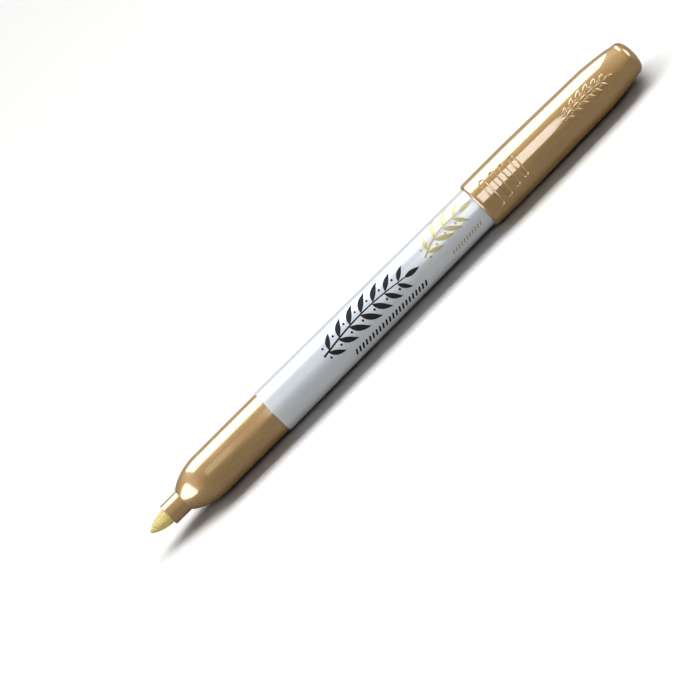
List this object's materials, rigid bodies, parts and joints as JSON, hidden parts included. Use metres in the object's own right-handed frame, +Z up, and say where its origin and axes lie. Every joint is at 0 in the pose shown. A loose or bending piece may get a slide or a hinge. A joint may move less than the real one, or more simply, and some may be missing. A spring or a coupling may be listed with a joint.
{
  "type": "marker pen",
  "caption": "Metallic marker pen with a bullet nib, a gold grip, a pale barrel and a clipped cap that is pushed onto its tail.",
  "frame": {"origin": "middle of the base of the box round the marker as it lies on a table, resting on its cap, on the edge of its clip and, at the nib end, on its barrel", "axes": "+X runs along the marker from the nib to the closed end of the cap, +Z is up, and the clip is on the low side towards +Y"},
  "size_m": [0.15, 0.0134, 0.0119],
  "materials": {
    "nib": "ink-soaked pressed fibre",
    "gold_plastic": "glossy gold-brown moulding with a pearl pigment",
    "pale_plastic": "satin pale grey moulding",
    "ink_fibre": "bonded fibre full of ink",
    "clear_film": "thin clear film",
    "liner_plastic": "soft natural plastic"
  },
  "bodies": {
    "marker": {"nib": "nib", "front_section": "gold_plastic", "barrel": "pale_plastic", "reservoir_core": "ink_fibre", "reservoir_film": "clear_film", "tail_plug": "gold_plastic"},
    "liner": {"cap_liner": "liner_plastic"},
    "cap": {"cap_shell": "gold_plastic"}
  },
  "joints": [
    {"name": "cap_pull", "type": "slide", "parent": "marker", "child": "liner", "axis": [1, 0, 0], "range_m": [0, 0.03]},
    {"name": "cap_twist", "type": "hinge", "parent": "liner", "child": "cap", "pos_m": [0.05, -0.00075, 0.00597], "axis": [1, 0, 0], "continuous": true}
  ]
}
